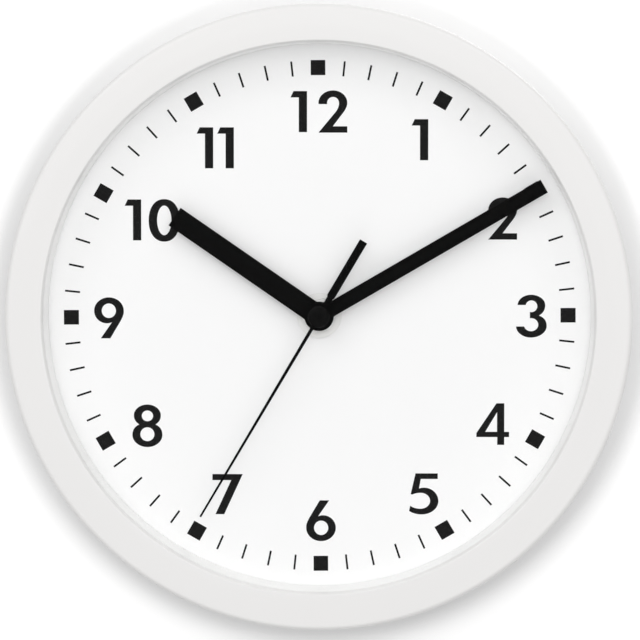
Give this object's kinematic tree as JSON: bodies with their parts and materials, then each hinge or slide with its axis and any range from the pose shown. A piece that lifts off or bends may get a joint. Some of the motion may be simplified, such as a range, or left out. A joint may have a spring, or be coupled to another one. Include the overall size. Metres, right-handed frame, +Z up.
{
  "type": "radio-controlled wall clock",
  "caption": "Round white wall clock with hour, minute and second hands on a numbered dial, a clear lens, and a radio-controlled battery movement behind.",
  "frame": {"origin": "the wall screw's seat: the top of the keyhole's slot, in the plane of the wall", "axes": "+Y out of the clock's back into the wall, so the dial faces -Y; +Z up; +X to the right as the dial is read"},
  "size_m": [0.255, 0.043, 0.255],
  "materials": {
    "white_plastic": "satin, smooth",
    "clear_lens": "clear, polished",
    "dial_white": "matt",
    "milky_plastic": "milky, satin",
    "black_paint": "satin black paint",
    "black_plastic": "fine matt texture",
    "black_rubber": "matt",
    "grey_plastic": "matt",
    "ivory_plastic": "moulded acetal, satin",
    "screw_steel": "zinc plated",
    "bright_steel": "bright sheet",
    "board_green": "solder resist",
    "copper_wire": "enamelled winding",
    "ferrite_grey": "matt",
    "magnet_grey": "sintered, matt",
    "capacitor_sleeve": "shrink sleeve",
    "battery_sleeve": "printed sleeve, satin"
  },
  "bodies": {
    "case": {"bezel": "white_plastic", "spacer_ring": "white_plastic", "back_cover": "white_plastic", "lens": "clear_lens", "dial_plate": "dial_white", "dial_washer": "milky_plastic", "dial_nut": "milky_plastic", "movement_front_case": "black_plastic", "movement_rear_case": "black_plastic", "receiver_chip": "black_plastic", "rubber_washer": "black_rubber", "train_plate": "ivory_plastic", "case_screw_1": "screw_steel", "case_screw_2": "screw_steel", "case_screw_3": "screw_steel", "case_screw_4": "screw_steel", "case_screw_5": "screw_steel", "case_screw_6": "screw_steel", "movement_screw_1": "screw_steel", "movement_screw_2": "screw_steel", "movement_screw_3": "screw_steel", "movement_screw_4": "screw_steel", "time_crystal": "bright_steel", "tuning_crystal": "bright_steel", "reset_switch": "bright_steel", "receive_switch": "bright_steel", "set_switch": "bright_steel", "seconds_stator": "bright_steel", "minutes_stator": "bright_steel", "seconds_core": "bright_steel", "minutes_core": "bright_steel", "battery_contact_positive": "bright_steel", "battery_contact_negative": "bright_steel", "circuit_board": "board_green", "seconds_coil": "copper_wire", "minutes_coil": "copper_wire", "antenna_coil": "copper_wire", "ferrite_rod": "ferrite_grey", "smoothing_capacitor": "capacitor_sleeve"},
    "hour_hand": {"hour_hand": "black_paint", "hour_wheel": "ivory_plastic"},
    "minute_hand": {"minute_hand": "black_paint", "minute_wheel": "ivory_plastic"},
    "second_hand": {"second_hand": "black_paint", "second_hand_cap": "black_paint", "seconds_wheel": "ivory_plastic"},
    "motion_wheel": {"motion_wheel": "ivory_plastic"},
    "third_wheel": {"third_wheel": "ivory_plastic"},
    "minutes_intermediate_wheel": {"minutes_intermediate_wheel": "ivory_plastic"},
    "minutes_rotor": {"minutes_rotor": "magnet_grey"},
    "seconds_intermediate_wheel": {"seconds_intermediate_wheel": "ivory_plastic"},
    "seconds_rotor": {"seconds_rotor": "magnet_grey"},
    "reset_button": {"reset_button": "grey_plastic"},
    "receive_button": {"receive_button": "grey_plastic"},
    "set_button": {"set_button": "grey_plastic"},
    "battery": {"battery": "battery_sleeve"}
  },
  "joints": [
    {"name": "minute_hand_turn", "type": "hinge", "parent": "case", "child": "minute_hand", "pos_m": [0, 0, -0.088], "axis": [0, 1, 0], "continuous": true},
    {"name": "hour_hand_turn", "type": "hinge", "parent": "case", "child": "hour_hand", "pos_m": [0, 0, -0.088], "axis": [0, 1, 0], "continuous": true},
    {"name": "second_hand_turn", "type": "hinge", "parent": "case", "child": "second_hand", "pos_m": [0, 0, -0.088], "axis": [0, 1, 0], "continuous": true},
    {"name": "motion_wheel_turn", "type": "hinge", "parent": "case", "child": "motion_wheel", "pos_m": [-0.00205, 0, -0.09364], "axis": [0, 1, 0], "continuous": true},
    {"name": "third_wheel_turn", "type": "hinge", "parent": "case", "child": "third_wheel", "pos_m": [0.00788, 0, -0.0851], "axis": [0, 1, 0], "continuous": true},
    {"name": "minutes_intermediate_turn", "type": "hinge", "parent": "case", "child": "minutes_intermediate_wheel", "pos_m": [0.01441, 0, -0.08814], "axis": [0, 1, 0], "continuous": true},
    {"name": "minutes_rotor_turn", "type": "hinge", "parent": "case", "child": "minutes_rotor", "pos_m": [0.01801, 0, -0.08191], "axis": [0, 1, 0], "continuous": true},
    {"name": "seconds_intermediate_turn", "type": "hinge", "parent": "case", "child": "seconds_intermediate_wheel", "pos_m": [-0.00788, 0, -0.0851], "axis": [0, 1, 0], "continuous": true},
    {"name": "seconds_rotor_turn", "type": "hinge", "parent": "case", "child": "seconds_rotor", "pos_m": [-0.01464, 0, -0.08261], "axis": [0, 1, 0], "continuous": true},
    {"name": "reset_button_press", "type": "slide", "parent": "case", "child": "reset_button", "axis": [0, -1, 0], "range_m": [0, 0.0005], "stiffness_N_per_m": 600, "springref_m": -0.0005},
    {"name": "receive_button_press", "type": "slide", "parent": "case", "child": "receive_button", "axis": [0, -1, 0], "range_m": [0, 0.0005], "stiffness_N_per_m": 600, "springref_m": -0.0005},
    {"name": "set_button_press", "type": "slide", "parent": "case", "child": "set_button", "axis": [0, -1, 0], "range_m": [0, 0.0005], "stiffness_N_per_m": 600, "springref_m": -0.0005},
    {"name": "battery_slide", "type": "slide", "parent": "case", "child": "battery", "axis": [0, 1, 0], "range_m": [0, 0.025]}
  ],
  "couplings": [
    {"joint": "hour_hand_turn", "follows": "minute_hand_turn", "ratio": 0.083333},
    {"joint": "motion_wheel_turn", "follows": "minute_hand_turn", "ratio": -0.33333},
    {"joint": "third_wheel_turn", "follows": "minute_hand_turn", "ratio": -6},
    {"joint": "minutes_intermediate_turn", "follows": "minute_hand_turn", "ratio": 30},
    {"joint": "minutes_rotor_turn", "follows": "minute_hand_turn", "ratio": -150},
    {"joint": "seconds_intermediate_turn", "follows": "second_hand_turn", "ratio": -6},
    {"joint": "seconds_rotor_turn", "follows": "second_hand_turn", "ratio": 30}
  ]
}
